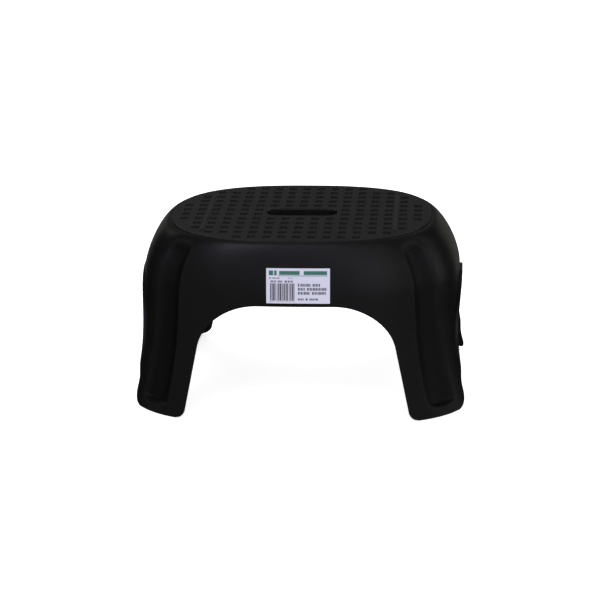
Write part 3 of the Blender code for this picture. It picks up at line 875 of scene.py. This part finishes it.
class Nodes:
    """Short way to add nodes to one material."""

    def __init__(self, name):
        self.material = bpy.data.materials.new(name)
        self.material.use_nodes = True
        self.tree = self.material.node_tree
        self.shader = self.tree.nodes["Principled BSDF"]
        self.place = self.tree.nodes.new("ShaderNodeTexCoord").outputs["Object"]

    def add(self, kind, inputs=(), **settings):
        node = self.tree.nodes.new(kind)
        for key, value in settings.items():
            setattr(node, key, value)
        for socket, value in dict(inputs).items():
            if isinstance(value, bpy.types.NodeSocket):
                self.tree.links.new(value, node.inputs[socket])
            else:
                node.inputs[socket].default_value = value
        return node

    def attribute(self, name):
        return self.add("ShaderNodeAttribute", attribute_name=name).outputs["Fac"]

    def noise(self, scale, detail=2.0, roughness=0.5):
        return self.add("ShaderNodeTexNoise", {"Vector": self.place, "Scale": scale, "Detail": detail,
                                               "Roughness": roughness}).outputs["Fac"]

    def remap(self, value, low, high, new_low, new_high):
        return self.add("ShaderNodeMapRange", {"Value": value, "From Min": low, "From Max": high,
                                               "To Min": new_low, "To Max": new_high}).outputs["Result"]

    def mix(self, factor, first, second):
        node = self.add("ShaderNodeMix", data_type="RGBA")
        for socket, value in ((node.inputs[0], factor), (node.inputs[6], first), (node.inputs[7], second)):
            if isinstance(value, bpy.types.NodeSocket):
                self.tree.links.new(value, socket)
            else:
                socket.default_value = value
        return node.outputs[2]

    def clouded(self, noise, first, second):
        """Colour that wanders from one to the other with a noise."""
        return self.mix(self.remap(noise, *CLOUD_SWING, 0.0, 1.0), first, second)

    def drifting(self, noise, low, high):
        """Roughness that wanders from low to high with a noise."""
        return self.remap(noise, *DRIFT_SWING, low, high)

    def bump(self, height, strength, distance, below=None):
        inputs = {"Height": height, "Strength": strength, "Distance": distance}
        if below:
            inputs["Normal"] = below
        return self.add("ShaderNodeBump", inputs).outputs["Normal"]

    def finish(self, colour, roughness, normal=None, **constants):
        for socket, value in (("Base Color", colour), ("Roughness", roughness), ("Normal", normal)):
            if isinstance(value, bpy.types.NodeSocket):
                self.tree.links.new(value, self.shader.inputs[socket])
            elif value is not None:
                self.shader.inputs[socket].default_value = value
        for socket, value in constants.items():
            self.shader.inputs[socket.replace("_", " ")].default_value = value
        return self.material


def grey(value):
    return value, value, value, 1.0


WALL_TONES = (grey(0.0037), grey(0.0043))
# painted shade in the flutes
FLUTE_SHADE_TONE = grey(0.0020)
# the tread's top painted lighter and warmer than the walls: painted light
TREAD_LIGHT_TONES = ((0.0070, 0.0066, 0.0066, 1.0), (0.0083, 0.0078, 0.0078, 1.0))
# painted highlight on the grip ribs' tops
GRIP_RIB_HIGHLIGHT_TONE = (0.0135, 0.0122, 0.0122, 1.0)
# painted shade in the pockets, the slot and the crease round the rim
HOLLOW_SHADE_TONE = grey(0.0042)
TREAD_LIGHT_FROM, TREAD_LIGHT_TO = TREAD_TOP - 0.0006, TREAD_TOP - 0.0001     # heights where the painted light comes in
GRIP_RIB_HIGHLIGHT_FROM, GRIP_RIB_HIGHLIGHT_TO = TREAD_TOP + 0.0003, TREAD_TOP + 0.0008
MATT = (0.30, 0.36)
MATT_IN_FLUTE = 0.14        # added to that
MATT_IN_HOLLOW = 0.55
POLISHED = 0.16
FILM_MATT = (0.37, 0.47)
RUBBER_TONES = (grey(0.022), grey(0.034))
RUBBER_MATT = (0.68, 0.84)


def moulding_material():
    """Black plastic, finely grained: duller in its flutes and hollows and polished round the slot, with
    painted shade in its flutes and hollows and painted light on its tread's top and grip ribs.
    """
    n = Nodes("moulded_polypropylene")
    recess, hollow, polish = (n.attribute(name) for name in ("recess", "hollow", "polish"))
    height = n.add("ShaderNodeSeparateXYZ", {"Vector": n.place}).outputs["Z"]
    cloud = n.noise(22.0, detail=4.0, roughness=0.6)
    # painted shade darkens the flutes
    wall = n.mix(recess, n.clouded(cloud, *WALL_TONES), FLUTE_SHADE_TONE)
    # painted highlight: the grip ribs lighter still
    rib_highlight_mask = n.remap(height, GRIP_RIB_HIGHLIGHT_FROM, GRIP_RIB_HIGHLIGHT_TO, 0.0, 1.0)
    tread = n.mix(rib_highlight_mask, n.clouded(cloud, *TREAD_LIGHT_TONES), GRIP_RIB_HIGHLIGHT_TONE)
    # painted light: the tread's top is lighter than the walls
    tread_light_mask = n.remap(height, TREAD_LIGHT_FROM, TREAD_LIGHT_TO, 0.0, 1.0)
    # painted shade darkens the pockets, the slot and the rim's crease
    colour = n.mix(hollow, n.mix(tread_light_mask, wall, tread), HOLLOW_SHADE_TONE)
    matt = n.drifting(n.noise(55.0, detail=5.0, roughness=0.65), *MATT)
    in_flute = n.remap(recess, 0.0, 1.0, 0.0, MATT_IN_FLUTE)
    matt = n.add("ShaderNodeMath", {0: matt, 1: in_flute}, operation="ADD").outputs[0]
    matt = n.remap(hollow, 0.0, 1.0, matt, MATT_IN_HOLLOW)
    matt = n.remap(polish, 0.0, 1.0, matt, POLISHED)
    grain = n.bump(n.noise(2600.0, detail=3.0, roughness=0.6), strength=0.25, distance=0.00012)
    skin = n.bump(n.noise(240.0), strength=0.10, distance=0.0004, below=grain)
    return n.finish(colour, matt, skin, Specular_IOR_Level=0.45)


def film_material(name, first, second):
    """Printed film with a fine fibre and a slow wave."""
    n = Nodes(name)
    colour = n.clouded(n.noise(700.0, detail=3.0), first, second)
    fibre = n.bump(n.noise(1800.0, detail=3.0, roughness=0.6), strength=0.12, distance=0.00006)
    wave = n.bump(n.noise(120.0, detail=1.0), strength=0.15, distance=0.0003, below=fibre)
    return n.finish(colour, n.drifting(n.noise(300.0), *FILM_MATT), wave)


def rubber_material():
    """Dark matt rubber with a speckled skin."""
    n = Nodes("pad_rubber")
    colour = n.clouded(n.noise(260.0, detail=4.0, roughness=0.6), *RUBBER_TONES)
    speckle = n.bump(n.noise(3200.0), strength=0.35, distance=0.00012)
    return n.finish(colour, n.drifting(n.noise(420.0, detail=3.0), *RUBBER_MATT), speckle)


# ---- pieces ----------------------------------------------------------------------------------

def make_piece(name, bm, materials, node):
    """Object of a finished mesh, which stands in for one CAD node."""
    mesh = bpy.data.meshes.new(name)
    bm.to_mesh(mesh)
    bm.free()
    for material in materials:
        mesh.materials.append(material)
    mesh.shade_smooth()
    piece = bpy.data.objects.new(name, mesh)
    bpy.context.scene.collection.objects.link(piece)
    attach(piece, "root")
    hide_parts(node)
    return piece


shell = make_piece("moulded_shell", moulding_mesh(), [moulding_material()], "stool_shell")
# masks of the painted shade in the flutes and hollows, and of the polished slot lip
for attribute, share in (("recess", flute_shade_share), ("hollow", hollow_shade_share), ("polish", polish_share)):
    values = shell.data.attributes.new(attribute, "FLOAT", "POINT")
    values.data.foreach_set("value", [share(*vertex.co) for vertex in shell.data.vertices])

label_films = [
    film_material("label_paper", (0.395, 0.395, 0.500, 1.0), (0.425, 0.425, 0.535, 1.0)),
    film_material("label_green", (0.020, 0.095, 0.075, 1.0), (0.030, 0.120, 0.095, 1.0)),
    film_material("label_black", (0.020, 0.020, 0.030, 1.0), (0.030, 0.030, 0.040, 1.0)),
    film_material("label_grey", (0.20, 0.20, 0.25, 1.0), (0.25, 0.25, 0.30, 1.0)),
]
label = make_piece("front_label", label_mesh(), label_films, "label_sticker")
label.data.set_sharp_from_angle(angle=LABEL_SHARP)

rubber = rubber_material()
for end, where in ((-1, "front"), (1, "back")):
    for side, hand in ((-1, "left"), (1, "right")):
        node = f"foot_pad_{where}_{hand}"
        pad_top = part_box(node)[1].z
        pad = make_piece(f"pad_{where}_{hand}", pad_mesh(side, end, pad_top), [rubber], node)
        pad.data.set_sharp_from_angle(angle=PAD_SHARP)


# ---- floor, light and camera -----------------------------------------------------------------

FLOOR_SIZE = 14.0
FLOOR_TONE = grey(0.90)
FLOOR_MATT = 0.9
FLOOR_GLOW = 0.66
WORLD_LEVEL = 0.9
SKY_DIRECTION = (0.05, 0.10, -1.0)
SKY_STRENGTH = 1.15
SKY_SPREAD = math.radians(70.0)
LAMP_AIM = (0.0, 0.0, 0.2)
LAMP_REACH = 2.8
COOL, WHITE, WARM = (0.82, 0.80, 1.0), (1.0, 1.0, 1.0), (1.0, 0.97, 0.94)

# Square lamps round the stool: (name, azimuth from the front, elevation, size in metres, watts, colour)
LAMPS_ROUND = (
    ("front_low_left", -15, 13, 0.8, 0.3, COOL),
    ("front_low_middle", 3, 13, 0.8, 0.6, COOL),
    ("front_low_right", 20, 13, 0.8, 1.5, COOL),
    ("corner_low_right", 37, 13, 0.8, 0.8, WHITE),
    ("corner_high_left", -48, 30, 0.8, 0.6, COOL),
    ("front_high_left", -30, 30, 0.8, 4.0, COOL),
    ("front_high_middle_left", -15, 30, 0.8, 1.6, COOL),
    ("front_high_middle", 3, 30, 0.8, 1.6, COOL),
    ("corner_high_right", 37, 30, 0.8, 0.6, WHITE),
    ("side_right_front", 66, 10, 1.0, 1.3, WHITE),
    ("side_right", 95, 8, 1.2, 1.6, WHITE),
    ("side_right_high", 100, 32, 1.2, 1.0, WHITE),
    ("side_left", -80, 12, 1.2, 0.8, WHITE),
    ("back_left", -128, 26, 0.8, 0.8, WHITE),
    ("back_high_left", -158, 44, 0.8, 2.0, WHITE),
    ("back_high_right", 158, 44, 0.8, 2.0, WHITE),
)

# Wide cards: (name, place, aim, width, height, watts, colour)
CARDS = (
    ("overhead", (0.0, 0.0, 2.2), LAMP_AIM, 1.6, 1.2, 0.8, WHITE),
    ("tread_sheen", (0.0, 2.6, 1.4), LAMP_AIM, 2.6, 0.8, 0.4, WHITE),
    ("back_card", (0.2, 3.0, 0.0), (0.2, 0.0, 0.0), 5.0, 1.8, 4.6, WARM),
)

CAMERA_AZIMUTH = math.radians(-4.59)
CAMERA_DIP = math.radians(20.0)
CAMERA_ROLL = math.radians(1.07)
CAMERA_DISTANCE = 2.428
CAMERA_AIM = (0.0025, 0.1094)   # how far right of and above the view's middle the tread's middle sits
CAMERA_FAR = 50.0
LENS = 117.03               # millimetres


def make_floor():
    bm = bmesh.new()
    bmesh.ops.create_grid(bm, x_segments=1, y_segments=1, size=FLOOR_SIZE / 2)
    mesh = bpy.data.meshes.new("studio_floor")
    bm.to_mesh(mesh)
    bm.free()
    n = Nodes("floor_paper")
    n.finish(FLOOR_TONE, FLOOR_MATT, Specular_IOR_Level=0.0, Emission_Color=grey(1.0),
             Emission_Strength=FLOOR_GLOW)
    mesh.materials.append(n.material)
    floor = bpy.data.objects.new("studio_floor", mesh)
    bpy.context.scene.collection.objects.link(floor)
    floor.visible_glossy = False


def make_softbox(name, place, aim, width, height, watts, colour):
    light = bpy.data.lights.new(name, "AREA")
    light.shape = "RECTANGLE"
    light.size, light.size_y = width, height
    light.energy = watts
    light.color = colour
    lamp = bpy.data.objects.new(name, light)
    lamp.location = place
    lamp.rotation_euler = (Vector(aim) - Vector(place)).to_track_quat("-Z", "Y").to_euler()
    lamp.visible_camera = False
    bpy.context.scene.collection.objects.link(lamp)


def make_world():
    world = bpy.data.worlds.new("studio")
    world.use_nodes = True
    back = world.node_tree.nodes["Background"]
    back.inputs["Color"].default_value = grey(1.0)
    back.inputs["Strength"].default_value = WORLD_LEVEL
    world.cycles_visibility.glossy = False
    bpy.context.scene.world = world


def make_camera():
    """The camera stands back from the tread's middle, dips and rolls a little."""
    turn = Matrix.Rotation(CAMERA_AZIMUTH, 3, "Z")
    dip = Matrix(((1, 0, 0), (0, math.sin(CAMERA_DIP), math.cos(CAMERA_DIP)),
                  (0, math.cos(CAMERA_DIP), -math.sin(CAMERA_DIP))))
    roll = Matrix.Rotation(CAMERA_ROLL, 3, "Z")
    axes = roll @ dip @ turn
    offset = axes.transposed() @ Vector((*CAMERA_AIM, CAMERA_DISTANCE))
    camera = bpy.data.objects.new("camera", bpy.data.cameras.new("camera"))
    camera.data.lens = LENS
    camera.data.clip_end = CAMERA_FAR
    camera.matrix_world = Matrix.LocRotScale(
        Vector((0.0, 0.0, TREAD_TOP)) - offset,
        Matrix((axes[0], axes[1], -axes[2])).transposed().to_quaternion(), None)
    bpy.context.scene.collection.objects.link(camera)
    bpy.context.scene.camera = camera


def make_sky():
    """Soft light from all of the sky, which doesn't show in the plastic's gloss."""
    light = bpy.data.lights.new("sky", "SUN")
    light.energy = SKY_STRENGTH
    light.angle = SKY_SPREAD
    lamp = bpy.data.objects.new("sky", light)
    lamp.rotation_euler = Vector(SKY_DIRECTION).to_track_quat("-Z", "Y").to_euler()
    lamp.visible_glossy = False
    bpy.context.scene.collection.objects.link(lamp)


def make_lamps():
    """The ring of square lamps, then the wide cards."""
    for name, azimuth, elevation, size, watts, colour in LAMPS_ROUND:
        lift = math.radians(elevation)
        out, turn = LAMP_REACH * math.cos(lift), math.radians(azimuth)
        place = (out * math.sin(turn), -out * math.cos(turn), LAMP_AIM[2] + LAMP_REACH * math.sin(lift))
        make_softbox(name, place, LAMP_AIM, size, size, watts, colour)
    for card in CARDS:
        make_softbox(*card)


make_floor()
make_world()
make_sky()
make_lamps()
make_camera()
bpy.context.scene.view_settings.view_transform = "Standard"
